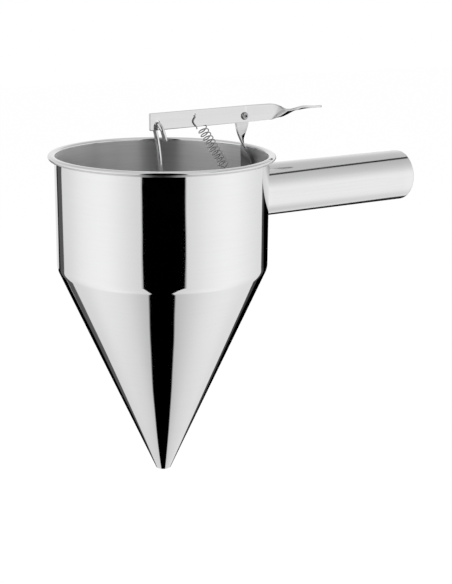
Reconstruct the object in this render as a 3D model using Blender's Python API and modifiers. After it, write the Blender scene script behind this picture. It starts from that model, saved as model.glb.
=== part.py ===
"""A hand-held piston funnel in stainless steel.

A thumb lever on a twisted bracket lifts a wire rod, whose plug then leaves the outlet of the cone.
Metres, +Z up. The origin is on the funnel's axis, in the plane under the rolled rim, where a ring would
carry the funnel. The handle runs along +X, and the lever stands upright in the XZ plane above it.
"""

import math

import bmesh
import bpy
from mathutils import Matrix, Vector

# Sheet metal of the bowl and the cone
SHEET = 0.0008
BOWL_RADIUS = 0.0708
RIM_ROLL = 0.0042
RIM_RADIUS = BOWL_RADIUS + RIM_ROLL
RIM_HEIGHT = 0.0035
BOWL_DEPTH = 0.0724
CONE_HEIGHT = 0.1477
OUTLET_RADIUS = 0.0053
SHOULDER_ROUNDING = 0.0040
BODY_STEPS = 64

# Clearances
SHARP_ANGLE = math.radians(35)
FACE_GAP = 0.0003
PIN_GAP = 0.0003
CUT_OVERRUN = 0.0020

# Handle tube, its end cap and the weld round its root
HANDLE_RADIUS = 0.0183
HANDLE_LENGTH = 0.1349
HANDLE_REACH = BOWL_RADIUS + HANDLE_LENGTH
HANDLE_DROP = 0.0285
HANDLE_WALL = 0.0012
CAP_THICKNESS = 0.0016
CAP_EDGE = 0.0012
CAP_SPIGOT = 0.0030
WELD_RADIUS = 0.0010
WELD_POINTS = 56
HANDLE_STEPS = 48

# Pivot of the lever, inside the bowl's wall and above the rim
PIVOT_INSET = 0.0066
PIVOT_X = BOWL_RADIUS - PIVOT_INSET
PIVOT_Z = 0.0240
PIVOT_BELOW_CENTRE = 0.0017
RIVET_RADIUS = 0.0015
RIVET_HEAD_RADIUS = 0.0027
RIVET_HEAD_HEIGHT = 0.0014
RIVET_TAIL_RADIUS = 0.0024
RIVET_TAIL_HEIGHT = 0.0010
WASHER_RADIUS = 0.0036
WASHER_THICKNESS = 0.0005
RIVET_STEPS = 32
HOLE_STEPS = 32

# Lever strip, tilted up slightly towards the thumb
STRIP = 0.0015
LEVER_WIDTH = 0.0120
LEVER_START = -0.0095
THUMB_REACH = 0.0649
LEVER_END = PIVOT_X + THUMB_REACH
LEVER_TILT = math.radians(1.0)
LEVER_CORNER = 0.0006
TWIST_OFFSET = 0.0098
TWIST_LENGTH = 0.0340
TWIST_START = PIVOT_X + TWIST_OFFSET
TWIST_END = TWIST_START + TWIST_LENGTH
TWIST_ANGLE = math.radians(85.0)
THUMB_RISE = 0.0009
THUMB_DIP = 0.0013
THUMB_ROUNDING = 0.0055
LEVER_STATIONS = 56

# Twisted bracket: ear behind the lever, foot on the bowl's wall, tongue for the spring
EAR_WIDTH = 0.0104
FOOT_WIDTH = 0.0125
BRACKET_TWIST_TOP = 0.0200
BRACKET_TWIST_BOTTOM = 0.0020
BRACKET_BEND = 0.0025
TONGUE_Z = -0.0165
TONGUE_REACH = 0.0183
TONGUE_TIP_X = BOWL_RADIUS - TONGUE_REACH
TONGUE_TIP_WIDTH = 0.0080
TONGUE_HOLE_INSET = 0.0030
BRACKET_STATION = 0.0013

# Wire rod with its hook
ROD_RADIUS = 0.0015
ROD_HOLE_RADIUS = 0.0020
ROD_HOLE_X = -0.0038
ROD_HOLE_Z = 0.0230
HOOK_RADIUS = 0.0053
HOOK_LEAN = math.radians(16.0)
HOOK_LEG = 0.0062
HOOK_BACK_LEG = 0.0012
ROD_BEND_DEPTH = 0.0520
ROD_FULL_DROP = 0.0300
HOOK_POINTS = 12
BEND_POINTS = 16

# Plug on the rod's lower end
PLUG_LIFT = 0.0056
PLUG_SEAT_HEIGHT = 0.0100
PLUG_SHOULDER = 0.0022
PLUG_NECK_RADIUS = 0.0034
PLUG_NECK_HEIGHT = 0.0050
PLUG_NOSE = 0.0012
PLUG_STEPS = 40

# Tension spring and its hooks
SPRING_WIRE = 0.0004
SPRING_RADIUS = 0.00305
SPRING_CURLS = 11
CURL_POINTS = 9
SPRING_HOLE_RADIUS = 0.0017
SPRING_ARM = 0.0398
SPRING_HOLE_X = PIVOT_X - SPRING_ARM
SPRING_HOLE_Z = 0.0263
SPRING_TOP_LEAD = 0.0108
SPRING_BOTTOM_LEAD = 0.0045
TOP_HOOK_RADIUS = 0.0017
TOP_HOOK_LEG = 0.0054
LOW_HOOK_LEG = 0.0045
LEAST_COIL_GAP = 0.0004

STEEL_MIRROR = (0.80, 0.80, 0.81, 1.0)
STEEL_SATIN = (0.70, 0.70, 0.71, 1.0)
STEEL_WIRE = (0.62, 0.62, 0.64, 1.0)

CONE_SLOPE = (BOWL_RADIUS - OUTLET_RADIUS) / CONE_HEIGHT
CONE_ANGLE = math.atan(CONE_SLOPE)
SHEET_ACROSS = SHEET / math.cos(CONE_ANGLE)
TIP_Z = -BOWL_DEPTH - CONE_HEIGHT
EAR_Y = STRIP / 2 + FACE_GAP + WASHER_THICKNESS + FACE_GAP + STRIP / 2
BODY_SAGITTA = BOWL_RADIUS * (1 - math.cos(math.pi / BODY_STEPS))
PIVOT = Vector((PIVOT_X, 0, PIVOT_Z))
ROD_WIRE_TOP = Vector((ROD_HOLE_X, 0, ROD_HOLE_Z - (ROD_HOLE_RADIUS - ROD_RADIUS) / 2))


def clear_scene():
    for old in list(bpy.data.objects):
        bpy.data.objects.remove(old, do_unlink=True)


def collection(name):
    made = bpy.data.collections.new(name)
    bpy.context.scene.collection.children.link(made)
    return made


def steel(name, colour, roughness):
    material = bpy.data.materials.new(name)
    material.use_nodes = True
    shader = material.node_tree.nodes["Principled BSDF"]
    shader.inputs["Base Color"].default_value = colour
    shader.inputs["Metallic"].default_value = 1.0
    shader.inputs["Roughness"].default_value = roughness
    return material


def add(name, data, group, material=None):
    obj = bpy.data.objects.new(name, data)
    group.objects.link(obj)
    if material:
        data.materials.append(material)
    return obj


def smooth(obj):
    obj.data.shade_smooth()
    obj.data.set_sharp_from_angle(angle=SHARP_ANGLE)


def ease(share):
    share = min(max(share, 0), 1)
    return share * share * (3 - 2 * share)


def arc(centre, radii, start, end, count):
    """Points of an elliptic arc in the (radius, height) plane, angles in degrees."""
    found = []
    for i in range(count):
        angle = math.radians(start + (end - start) * i / (count - 1))
        found.append((centre[0] + radii[0] * math.cos(angle), centre[1] + radii[1] * math.sin(angle)))
    return found


def turned(name, profile, group, material, steps, thickness=0.0):
    """A profile turned about Z. With a thickness it is a sheet, whose middle the profile gives."""
    mesh = bpy.data.meshes.new(name)
    edges = [(i, i + 1) for i in range(len(profile) - 1)]
    mesh.from_pydata([(r, 0, z) for r, z in profile], edges, [])
    obj = add(name, mesh, group, material)
    screw = obj.modifiers.new("turn", "SCREW")
    screw.axis = "Z"
    screw.steps = screw.render_steps = steps
    screw.use_merge_vertices = True
    screw.merge_threshold = 1e-6
    if thickness:
        solid = obj.modifiers.new("sheet", "SOLIDIFY")
        solid.thickness = thickness
        solid.offset = 0
        solid.use_even_offset = True
    return obj


def turned_ring(name, inner, outer, low, high, group, material, steps):
    """A plain ring with a square section, turned about Z."""
    profile = [(outer, high), (outer, low), (inner, low), (inner, high), (outer, high)]
    return turned(name, profile, group, material, steps)


def baked(obj):
    """The object with its modifiers applied, so that its origin can leave the axis it was turned about."""
    bpy.context.view_layer.update()
    graph = bpy.context.evaluated_depsgraph_get()
    profile, obj.data = obj.data, bpy.data.meshes.new_from_object(obj.evaluated_get(graph))
    obj.modifiers.clear()
    bpy.data.meshes.remove(profile)
    return obj


def seated(obj, origin, parent=None):
    """Moves the object's origin to a point, with its shape where it was, under the given parent."""
    bpy.context.view_layer.update()
    obj.data.transform(Matrix.Translation(-origin))
    obj.location = origin
    if parent:
        obj.parent = parent
        obj.matrix_parent_inverse = Matrix.Translation(-parent_place(parent))


def parent_place(empty):
    place = empty.location.copy()
    return place + parent_place(empty.parent) if empty.parent else place


def cutter(name, centre, axis, radius, length, group, segments=HOLE_STEPS):
    """A round cutter through a point, along an axis."""
    mesh = bpy.data.meshes.new(name)
    shape = bmesh.new()
    bmesh.ops.create_cone(
        shape, cap_ends=True, segments=segments, radius1=radius, radius2=radius, depth=length
    )
    shape.to_mesh(mesh)
    shape.free()
    obj = add(name, mesh, group)
    turned_to_axis = Vector(axis).to_track_quat("Z", "Y").to_matrix().to_4x4()
    obj.matrix_world = Matrix.Translation(centre) @ turned_to_axis
    obj.hide_render = True
    obj.display_type = "WIRE"
    return obj


def cut(obj, tool):
    boolean = obj.modifiers.new(tool.name, "BOOLEAN")
    boolean.operation = "DIFFERENCE"
    boolean.solver = "EXACT"
    boolean.object = tool


def strip(name, sections, across, group, material):
    """A bent and twisted strip. Each section is its middle, its direction across and its half width."""
    mesh = bpy.data.meshes.new(name)
    shape = bmesh.new()
    bmesh.ops.create_grid(shape, x_segments=len(sections) - 1, y_segments=across, size=0.5)
    for point in shape.verts:
        i = round((point.co.x + 0.5) * (len(sections) - 1))
        middle, direction, half = sections[i][:3]
        place = middle + direction * (2 * point.co.y * half)
        wall = sections[i][3] if len(sections[i]) > 3 else 0
        place.x -= wall * wall_sagitta(place.y)
        point.co = place
    shape.to_mesh(mesh)
    shape.free()
    obj = add(name, mesh, group, material)
    solid = obj.modifiers.new("sheet", "SOLIDIFY")
    solid.thickness = STRIP
    solid.offset = 0
    solid.use_even_offset = True
    return obj


def wall_sagitta(y):
    """How far the bowl's inner wall has curved away from its tangent plane at a distance y."""
    inner = BOWL_RADIUS - SHEET
    return inner - math.sqrt(inner * inner - y * y)


def tube(name, points, radius, resolution, group, material, cyclic=False):
    """A wire: a poly curve with a round bevel and filled caps."""
    curve = bpy.data.curves.new(name, "CURVE")
    curve.dimensions = "3D"
    curve.bevel_depth = radius
    curve.bevel_resolution = resolution
    curve.use_fill_caps = True
    curve.twist_mode = "MINIMUM"
    spline = curve.splines.new("POLY")
    spline.points.add(len(points) - 1)
    for slot, point in zip(spline.points, points):
        slot.co = (*point, 1)
    spline.use_cyclic_u = cyclic
    return add(name, curve, group, material)


def turn_points(centre, start, end, sweep, count):
    """Points of an arc about a centre, from the direction start towards the direction end."""
    return [
        centre + start * math.cos(sweep * i / count) + end * math.sin(sweep * i / count)
        for i in range(1, count + 1)
    ]


def smooth_bend(first, first_way, last, last_way, count):
    """Points between two ends, leaving and arriving along the given ways, as a Hermite curve."""
    found = []
    for i in range(1, count + 1):
        t = i / (count + 1)
        found.append(
            first * (2 * t**3 - 3 * t**2 + 1)
            + first_way * (t**3 - 2 * t**2 + t)
            + last * (3 * t**2 - 2 * t**3)
            + last_way * (t**3 - t**2)
        )
    return found


def lever_middle(x):
    """Centre line of the lever: straight, with a slight dip at the twist and a rise to the thumb plate."""
    z = PIVOT_Z + PIVOT_BELOW_CENTRE + math.tan(LEVER_TILT) * (x - PIVOT_X)
    twist_middle = (TWIST_START + TWIST_END) / 2
    z -= THUMB_DIP * ease((x - TWIST_START) / (twist_middle - TWIST_START))
    z += (THUMB_DIP + THUMB_RISE) * ease((x - twist_middle) / (LEVER_END - THUMB_ROUNDING - twist_middle))
    z -= math.tan(LEVER_TILT) * max(x - twist_middle, 0)
    return Vector((x, 0, z))


def lever_half_width(x):
    half = LEVER_WIDTH / 2
    into_corner = LEVER_CORNER - (x - LEVER_START)
    if into_corner > 0:
        return half - into_corner
    into_tip = x - (LEVER_END - THUMB_ROUNDING)
    if into_tip > 0:
        return half * math.sqrt(max(1 - (into_tip / THUMB_ROUNDING) ** 2, 0.02))
    return half


def rod_line():
    """The rod's centre line, from its hook's free end through the lever's hole and down the axis."""
    down = Vector((math.sin(HOOK_LEAN), 0, -math.cos(HOOK_LEAN)))
    front = Vector((0, -1, 0))
    middle = ROD_WIRE_TOP + down * HOOK_RADIUS
    front_leg = middle + front * HOOK_RADIUS
    points = [front_leg + down * HOOK_LEG, front_leg + down * HOOK_LEG / 2, front_leg]
    points += turn_points(middle, front * HOOK_RADIUS, -down * HOOK_RADIUS, math.pi, HOOK_POINTS)
    shank_top = points[-1] + down * HOOK_BACK_LEG
    points.append(shank_top)
    axis_start = Vector((0, 0, -ROD_FULL_DROP))
    straight = Vector((0, 0, -ROD_BEND_DEPTH))
    points += smooth_bend(shank_top, down * ROD_BEND_DEPTH / 2, axis_start, straight, BEND_POINTS)
    points.append(axis_start)
    points.append(Vector((0, 0, plug_top() - PLUG_NECK_HEIGHT)))
    return points


def cone_inner_radius(z):
    """Inside radius of the cone at a height."""
    return OUTLET_RADIUS - SHEET_ACROSS + CONE_SLOPE * (z - TIP_Z)


def plug_top():
    return TIP_Z + PLUG_LIFT + PLUG_SEAT_HEIGHT + PLUG_SHOULDER + PLUG_NECK_HEIGHT


def spring_axis():
    """Where the spring's axis starts and ends: at the lever's hole and over the tongue's tip."""
    top = Vector((SPRING_HOLE_X, 0, SPRING_HOLE_Z - SPRING_HOLE_RADIUS + PIN_GAP + SPRING_WIRE))
    low_x = TONGUE_TIP_X - FACE_GAP - SPRING_WIRE
    return top, Vector((low_x, 0, TONGUE_Z + STRIP / 2 + LOW_HOOK_LEG / 2))


def spring_line():
    """The spring's wire as one line: upper hook, curls, lower hook."""
    top, low = spring_axis()
    along = (low - top).normalized()
    side = Vector((0, 1, 0))
    across = along.cross(side).normalized()
    first = top + along * SPRING_TOP_LEAD
    body = (low - top).length - SPRING_TOP_LEAD - SPRING_BOTTOM_LEAD
    down = Vector((0, 0, -1))

    hook_middle = top + down * TOP_HOOK_RADIUS
    front_leg = hook_middle - side * TOP_HOOK_RADIUS
    free_end = front_leg + down * TOP_HOOK_LEG
    points = [free_end, free_end - down * 2 * SPRING_WIRE, front_leg]
    points += turn_points(hook_middle, -side * TOP_HOOK_RADIUS, -down * TOP_HOOK_RADIUS, math.pi, 8)
    lead_in = first - along * 3 * SPRING_WIRE + side * SPRING_RADIUS - across * 2 * SPRING_WIRE
    points += smooth_bend(points[-1], down * TOP_HOOK_RADIUS, lead_in, along * TOP_HOOK_RADIUS, 3)
    points.append(lead_in)

    count = SPRING_CURLS * CURL_POINTS
    for i in range(count + 1):
        angle = 2 * math.pi * i / CURL_POINTS
        radial = side * math.cos(angle) + across * math.sin(angle)
        points.append(first + along * (body * i / count) + radial * SPRING_RADIUS)

    plate_low = TONGUE_Z - STRIP / 2
    hole_x = TONGUE_TIP_X + TONGUE_HOLE_INSET
    low_radius = (hole_x - low.x) / 2
    leg_top = Vector((low.x, 0, TONGUE_Z + STRIP / 2))
    points += smooth_bend(points[-1], (along + across) * SPRING_RADIUS, leg_top, down * LOW_HOOK_LEG, 5)
    points.append(leg_top)
    bight = Vector((low.x + low_radius, 0, plate_low - FACE_GAP))
    points.append(Vector((low.x, 0, bight.z)))
    points += turn_points(bight, Vector((-low_radius, 0, 0)), down * low_radius, math.pi, 8)
    free_end = Vector((hole_x, 0, TONGUE_Z + STRIP / 2 + LOW_HOOK_LEG))
    points.append(free_end + down * 2 * SPRING_WIRE)
    points.append(free_end)
    return points


def least_gap(points, wire):
    """Least clear distance between two stretches of one wire that are over a curl apart along it."""
    least = math.inf
    for i, one in enumerate(points):
        for j in range(i + CURL_POINTS - 2, len(points) - 1):
            start, span = points[j], points[j + 1] - points[j]
            share = min(max((one - start).dot(span) / span.length_squared, 0), 1)
            least = min(least, (one - start - span * share).length)
    return least - 2 * wire


def bracket_sections():
    """Middle line, direction across, half width and how far the wall's curve is followed, top to tip."""
    ear_top = PIVOT_Z + EAR_WIDTH / 2
    foot_x = BOWL_RADIUS - SHEET - BODY_SAGITTA - FACE_GAP - STRIP / 2
    bend_z = TONGUE_Z + BRACKET_BEND
    drop = ear_top - bend_z
    sections = []
    for i in range(round(drop / BRACKET_STATION) + 1):
        z = ear_top - drop * i / round(drop / BRACKET_STATION)
        lean = ease((ear_top - z) / (ear_top - BRACKET_TWIST_BOTTOM))
        x = PIVOT_X + (foot_x - PIVOT_X) * lean
        turn = ease((BRACKET_TWIST_TOP - z) / (BRACKET_TWIST_TOP - BRACKET_TWIST_BOTTOM))
        half = (EAR_WIDTH + (FOOT_WIDTH - EAR_WIDTH) * turn) / 2
        if z > PIVOT_Z:
            half = math.sqrt(max(half**2 - (z - PIVOT_Z) ** 2, LEVER_CORNER**2))
        angle = turn * math.pi / 2
        across = Vector((-math.cos(angle), -math.sin(angle), 0))
        sections.append((Vector((x, EAR_Y, z)), across, half, turn))
    corner = Vector((foot_x - BRACKET_BEND, EAR_Y, bend_z))
    over = Vector((0, -1, 0))
    outward = Vector((BRACKET_BEND, 0, 0))
    downward = Vector((0, 0, -BRACKET_BEND))
    for point in turn_points(corner, outward, downward, math.pi / 2, 5):
        sections.append((point, over, FOOT_WIDTH / 2, ease((point.z - TONGUE_Z) / BRACKET_BEND)))
    reach = foot_x - BRACKET_BEND - TONGUE_TIP_X
    steps = round(reach / BRACKET_STATION)
    for i in range(1, steps + 1):
        share = i / steps
        x = foot_x - BRACKET_BEND - reach * share
        half = (FOOT_WIDTH + (TONGUE_TIP_WIDTH - FOOT_WIDTH) * share) / 2
        into_tip = TONGUE_HOLE_INSET - (x - TONGUE_TIP_X)
        if into_tip > 0:
            half *= math.sqrt(max(1 - (into_tip / TONGUE_HOLE_INSET) ** 2 / 2, 0))
        sections.append((Vector((x, EAR_Y * (1 - share), TONGUE_Z)), over, half, 0))
    return sections


def make_body(parts, mirror):
    middle = BOWL_RADIUS - SHEET / 2
    curl = ((RIM_RADIUS - SHEET / 2 - middle) / 2, (RIM_HEIGHT - SHEET) / 2)
    centre = (middle + curl[0], RIM_HEIGHT / 2)
    end_share = (BOWL_RADIUS + FACE_GAP + SHEET / 2 - centre[0]) / curl[0]
    end_angle = -math.degrees(math.acos(max(end_share, -1)))
    corner = -BOWL_DEPTH + (SHEET_ACROSS - SHEET) / 2 / CONE_SLOPE
    seam = corner + math.tan(CONE_ANGLE / 2) * SHOULDER_ROUNDING
    profile = list(reversed(arc(centre, curl, 180, end_angle, 15)))
    profile.append((middle, seam + FACE_GAP))
    turned("bowl_cylinder", profile, parts, mirror, BODY_STEPS, SHEET)

    round_centre = (middle - SHOULDER_ROUNDING, seam)
    rounding = (SHOULDER_ROUNDING, SHOULDER_ROUNDING)
    profile = arc(round_centre, rounding, 0, -math.degrees(CONE_ANGLE), 5)
    start = profile[-1]
    tip = (OUTLET_RADIUS - SHEET_ACROSS / 2, TIP_Z)
    for share in (0.35, 0.7, 1.0):
        profile.append(tuple(first + (last - first) * share for first, last in zip(start, tip)))
    turned("outlet_cone", profile, parts, mirror, BODY_STEPS, SHEET)


def make_handle(parts, cutters, mirror, satin):
    tube_end = HANDLE_REACH - CAP_THICKNESS - FACE_GAP
    tube_start = math.sqrt(BOWL_RADIUS**2 - HANDLE_RADIUS**2) - CUT_OVERRUN
    bore = HANDLE_RADIUS - HANDLE_WALL
    handle = turned_ring(
        "handle_tube", bore, HANDLE_RADIUS, tube_start, tube_end, parts, mirror, HANDLE_STEPS
    )
    along = Matrix.Translation((0, 0, -HANDLE_DROP)) @ Matrix.Rotation(math.pi / 2, 4, "Y")
    handle.matrix_world = along
    height = 2 * HANDLE_RADIUS + 2 * CUT_OVERRUN
    middle = (0, 0, -HANDLE_DROP)
    bowl = cutter("bowl_wall", middle, (0, 0, 1), BOWL_RADIUS + FACE_GAP, height, cutters, 4 * BODY_STEPS)
    cut(handle, bowl)

    spigot = bore - FACE_GAP
    edge_centre = (HANDLE_RADIUS - CAP_EDGE, HANDLE_REACH - CAP_EDGE)
    edge = arc(edge_centre, (CAP_EDGE, CAP_EDGE), 90, 0, 5)
    profile = [(0, HANDLE_REACH)] + edge
    profile += [(HANDLE_RADIUS, HANDLE_REACH - CAP_THICKNESS), (spigot, HANDLE_REACH - CAP_THICKNESS)]
    profile += [(spigot, tube_end - CAP_SPIGOT), (0, tube_end - CAP_SPIGOT)]
    cap = turned("handle_end_cap", profile, parts, mirror, HANDLE_STEPS)
    cap.matrix_world = along

    reach = HANDLE_RADIUS + FACE_GAP + WELD_RADIUS
    around = BOWL_RADIUS + FACE_GAP + WELD_RADIUS
    ring = []
    for i in range(WELD_POINTS):
        angle = 2 * math.pi * i / WELD_POINTS
        y = reach * math.cos(angle)
        z = reach * math.sin(angle) - HANDLE_DROP
        ring.append(Vector((math.sqrt(around * around - y * y), y, z)))
    tube("handle_weld", ring, WELD_RADIUS, 1, parts, satin, cyclic=True)


def make_lever(parts, cutters, satin):
    sections = []
    length = LEVER_END - LEVER_START
    tip_start = LEVER_END - THUMB_ROUNDING
    stations = [LEVER_START + length * i / LEVER_STATIONS for i in range(LEVER_STATIONS + 1)]
    stations = [x for x in stations if x < tip_start]
    stations.append(LEVER_START + LEVER_CORNER)
    stations += [LEVER_END - THUMB_ROUNDING * share for share in (1.0, 0.6, 0.3, 0.12, 0.0)]
    for x in sorted(stations):
        turn = TWIST_ANGLE * ease((x - TWIST_START) / (TWIST_END - TWIST_START))
        across = Vector((-math.sin(LEVER_TILT) * math.cos(turn), -math.sin(turn), math.cos(turn)))
        sections.append((lever_middle(x), across, lever_half_width(x)))
    lever = strip("lever", sections, 2, parts, satin)
    reach = 2 * STRIP + 2 * CUT_OVERRUN
    sideways = (0, 1, 0)
    cut(lever, cutter("pivot_hole", PIVOT, sideways, RIVET_RADIUS + PIN_GAP, reach, cutters))
    rod_hole = (ROD_HOLE_X, 0, ROD_HOLE_Z)
    cut(lever, cutter("rod_hole", rod_hole, sideways, ROD_HOLE_RADIUS, reach, cutters))
    spring_hole = (SPRING_HOLE_X, 0, SPRING_HOLE_Z)
    cut(lever, cutter("spring_hole", spring_hole, sideways, SPRING_HOLE_RADIUS, reach, cutters))
    return lever


def make_bracket(parts, cutters, satin):
    bracket = strip("pivot_bracket", bracket_sections(), 4, parts, satin)
    ear_hole = (PIVOT_X, EAR_Y, PIVOT_Z)
    reach = 2 * STRIP + 2 * CUT_OVERRUN
    cut(bracket, cutter("ear_hole", ear_hole, (0, 1, 0), RIVET_RADIUS + PIN_GAP, reach, cutters))
    hole = (TONGUE_TIP_X + TONGUE_HOLE_INSET, 0, TONGUE_Z)
    cut(bracket, cutter("tongue_hole", hole, (0, 0, 1), SPRING_HOLE_RADIUS, reach, cutters))
    return bracket


def make_rivet(parts, mirror, satin):
    """Head towards -Y in front of the lever, shank through lever, washer and ear, tail behind the ear."""
    head = -STRIP / 2 - FACE_GAP
    tail = EAR_Y + STRIP / 2 + FACE_GAP
    dome = arc((0, -head), (RIVET_HEAD_RADIUS, RIVET_HEAD_HEIGHT), 90, 8, 7)
    profile = dome + [(RIVET_HEAD_RADIUS, -head), (RIVET_RADIUS, -head), (RIVET_RADIUS, -tail)]
    profile.append((RIVET_TAIL_RADIUS, -tail))
    profile += arc((0, -tail), (RIVET_TAIL_RADIUS, RIVET_TAIL_HEIGHT), -20, -90, 5)
    profile[0] = (0, profile[0][1])
    profile[-1] = (0, profile[-1][1])
    facing = Matrix.Translation(PIVOT) @ Matrix.Rotation(math.pi / 2, 4, "X")
    rivet = turned("pivot_rivet", profile, parts, mirror, RIVET_STEPS)
    rivet.matrix_world = facing
    near = STRIP / 2 + FACE_GAP
    washer = turned_ring(
        "pivot_washer",
        RIVET_RADIUS + PIN_GAP,
        WASHER_RADIUS,
        -near - WASHER_THICKNESS,
        -near,
        parts,
        satin,
        RIVET_STEPS,
    )
    washer.matrix_world = facing


def make_plug(parts, satin):
    """A cone that closes the outlet from above, with a bored neck for the rod."""
    seat_low = TIP_Z + PLUG_LIFT
    seat_high = seat_low + PLUG_SEAT_HEIGHT
    gap = FACE_GAP / math.cos(CONE_ANGLE)
    high_radius = cone_inner_radius(seat_high) - gap
    low_radius = cone_inner_radius(seat_low) - gap
    neck_low = seat_high + PLUG_SHOULDER
    bore = ROD_RADIUS + PIN_GAP
    floor = plug_top() - PLUG_NECK_HEIGHT - FACE_GAP
    profile = [
        (0, floor),
        (bore, floor),
        (bore, plug_top()),
        (PLUG_NECK_RADIUS, plug_top()),
        (PLUG_NECK_RADIUS, neck_low),
        (high_radius, seat_high),
        (low_radius, seat_low),
        (low_radius - PLUG_NOSE, seat_low - PLUG_NOSE / 2),
        (0, seat_low - PLUG_NOSE / 2),
    ]
    return turned("outlet_plug", profile, parts, satin, PLUG_STEPS)


def main():
    clear_scene()
    parts = collection("piston_funnel")
    cutters = collection("cutters")
    mirror = steel("polished_steel", STEEL_MIRROR, 0.06)
    satin = steel("satin_steel", STEEL_SATIN, 0.25)
    wire = steel("wire_steel", STEEL_WIRE, 0.18)

    make_body(parts, mirror)
    make_handle(parts, cutters, mirror, satin)
    make_bracket(parts, cutters, satin)
    make_rivet(parts, mirror, satin)

    lever_axis = add("lever_axis", None, parts)
    lever_axis.location = PIVOT
    rod_axis = add("rod_axis", None, parts)
    rod_axis.location = ROD_WIRE_TOP - PIVOT
    rod_axis.parent = lever_axis

    lever = make_lever(parts, cutters, satin)
    seated(lever, PIVOT, lever_axis)
    rod = tube("piston_rod", rod_line(), ROD_RADIUS, 2, parts, wire)
    seated(rod, ROD_WIRE_TOP, rod_axis)
    plug = make_plug(parts, satin)
    smooth(baked(plug))
    seated(plug, ROD_WIRE_TOP, rod_axis)

    points = spring_line()
    gap = least_gap(points, SPRING_WIRE)
    wanted = f"wanted over {LEAST_COIL_GAP} m"
    print(f"return_spring: {SPRING_CURLS} curls, least gap to itself {gap:.5f} m, {wanted}")
    tube("return_spring", points, SPRING_WIRE, 1, parts, wire)


main()
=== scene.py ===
import math

import bmesh
import bpy
from mathutils import Matrix, Vector


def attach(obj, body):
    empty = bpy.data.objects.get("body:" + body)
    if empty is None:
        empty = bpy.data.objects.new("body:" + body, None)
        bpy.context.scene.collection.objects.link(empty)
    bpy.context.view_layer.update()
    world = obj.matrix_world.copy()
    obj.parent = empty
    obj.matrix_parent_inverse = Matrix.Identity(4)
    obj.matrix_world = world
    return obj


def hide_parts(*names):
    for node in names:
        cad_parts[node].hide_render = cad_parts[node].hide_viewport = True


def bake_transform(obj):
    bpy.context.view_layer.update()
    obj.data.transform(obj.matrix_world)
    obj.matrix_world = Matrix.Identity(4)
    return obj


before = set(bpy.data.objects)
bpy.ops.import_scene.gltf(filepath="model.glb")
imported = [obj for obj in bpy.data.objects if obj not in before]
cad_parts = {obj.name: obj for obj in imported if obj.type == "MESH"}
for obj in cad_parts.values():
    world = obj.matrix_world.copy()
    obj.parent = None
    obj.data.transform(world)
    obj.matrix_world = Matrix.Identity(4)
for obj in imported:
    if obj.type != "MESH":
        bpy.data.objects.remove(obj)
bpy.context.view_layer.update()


def ease(share):
    share = min(max(share, 0.0), 1.0)
    return share * share * (3 - 2 * share)


def addNode(tree, kind, **settings):
    node = tree.nodes.new(kind)
    for name, value in settings.items():
        setattr(node, name, value)
    return node


def feed(tree, socket, value):
    if isinstance(value, bpy.types.NodeSocket):
        tree.links.new(value, socket)
    elif value is not None:
        socket.default_value = value


def wired(tree, kind, values, **settings):
    node = addNode(tree, kind, **settings)
    for socket, value in values.items():
        feed(tree, node.inputs[socket], value)
    return node


def mathNode(tree, operation, *values):
    return wired(tree, "ShaderNodeMath", dict(enumerate(values)), operation=operation).outputs[0]


def vectorNode(tree, operation, *values):
    node = wired(tree, "ShaderNodeVectorMath", dict(enumerate(values)), operation=operation)
    return node.outputs["Value" if operation == "DOT_PRODUCT" else "Vector"]


def remap(tree, value, low, high, newLow, newHigh, smooth=False):
    values = dict(enumerate((value, low, high, newLow, newHigh)))
    kind = "SMOOTHSTEP" if smooth else "LINEAR"
    return wired(tree, "ShaderNodeMapRange", values, interpolation_type=kind).outputs["Result"]


def noiseNode(tree, place, scale, detail=3.0, roughness=0.5):
    values = {"Vector": place, "Scale": scale, "Detail": detail, "Roughness": roughness}
    return wired(tree, "ShaderNodeTexNoise", values).outputs[0]


def mixShaders(tree, share, first, second):
    return wired(tree, "ShaderNodeMixShader", {0: share, 1: first, 2: second}).outputs[0]


def mixColours(tree, share, first, second):
    values = {"Factor": share, "A": first, "B": second}
    return wired(tree, "ShaderNodeMix", values, data_type="RGBA").outputs["Result"]


def newGroup(name, kind, inputs, outputs):
    tree = bpy.data.node_groups.new(name, kind)
    for label, socketType, value in inputs:
        socket = tree.interface.new_socket(label, in_out="INPUT", socket_type=socketType)
        if value is not None:
            socket.default_value = value
    for label, socketType in outputs:
        tree.interface.new_socket(label, in_out="OUTPUT", socket_type=socketType)
    return tree, addNode(tree, "NodeGroupInput"), addNode(tree, "NodeGroupOutput")


# Finishes. All the steels share three groups: drawn or brushed lines, handling marks and a painted highlight
# that lightens the convex edges.
def buildBrushLines():
    tree, given, made = newGroup(
        "brushLines",
        "ShaderNodeTree",
        (
            ("Place", "NodeSocketVector", None),
            ("Stretch", "NodeSocketVector", (1, 1, 1)),
            ("Fineness", "NodeSocketFloat", 100.0),
        ),
        (("Height", "NodeSocketFloat"), ("Streak", "NodeSocketFloat")),
    )
    drawn = vectorNode(tree, "MULTIPLY", given.outputs["Place"], given.outputs["Stretch"])
    fine = noiseNode(tree, drawn, given.outputs["Fineness"], 4.0, 0.65)
    coarse = noiseNode(tree, drawn, mathNode(tree, "MULTIPLY", given.outputs["Fineness"], 0.23), 2.0)
    feed(tree, made.inputs["Height"], mathNode(tree, "ADD", fine, mathNode(tree, "MULTIPLY", coarse, 0.6)))
    feed(tree, made.inputs["Streak"], remap(tree, coarse, 0.35, 0.68, 0.0, 1.0, True))
    return tree


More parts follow.
